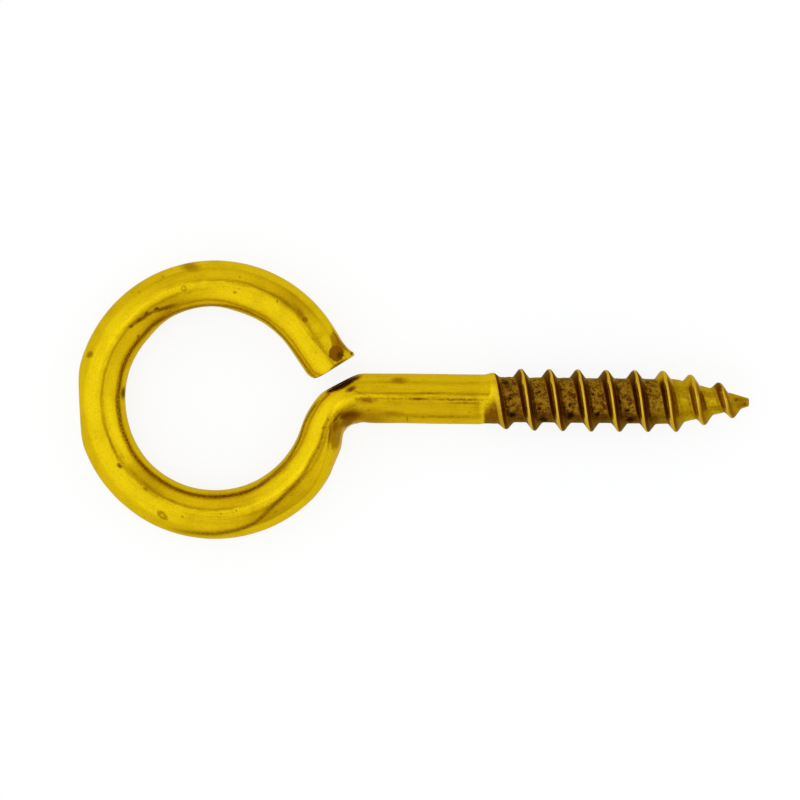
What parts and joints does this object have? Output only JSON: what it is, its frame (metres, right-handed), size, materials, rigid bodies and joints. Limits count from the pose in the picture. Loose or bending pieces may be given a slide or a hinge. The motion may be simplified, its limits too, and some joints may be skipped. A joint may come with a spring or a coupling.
{
  "type": "screw eye",
  "caption": "Screw eye: round wire bent into an open eye on an offset neck, with a plain shank, a coarse wood thread and a gimlet point.",
  "frame": {"origin": "middle of the eye, on the wire's middle plane", "axes": "+X along the shank to the point, +Z square to the eye's plane, +Y across the eye towards its open end"},
  "size_m": [0.0523, 0.0218, 0.0048],
  "materials": {
    "brass_plate": "bright brass plate on drawn wire, with drawing streaks, pressed tool marks and dark tarnish in the thread's roots"
  },
  "bodies": {
    "root": {"screw_eye": "brass_plate"}
  },
  "joints": []
}
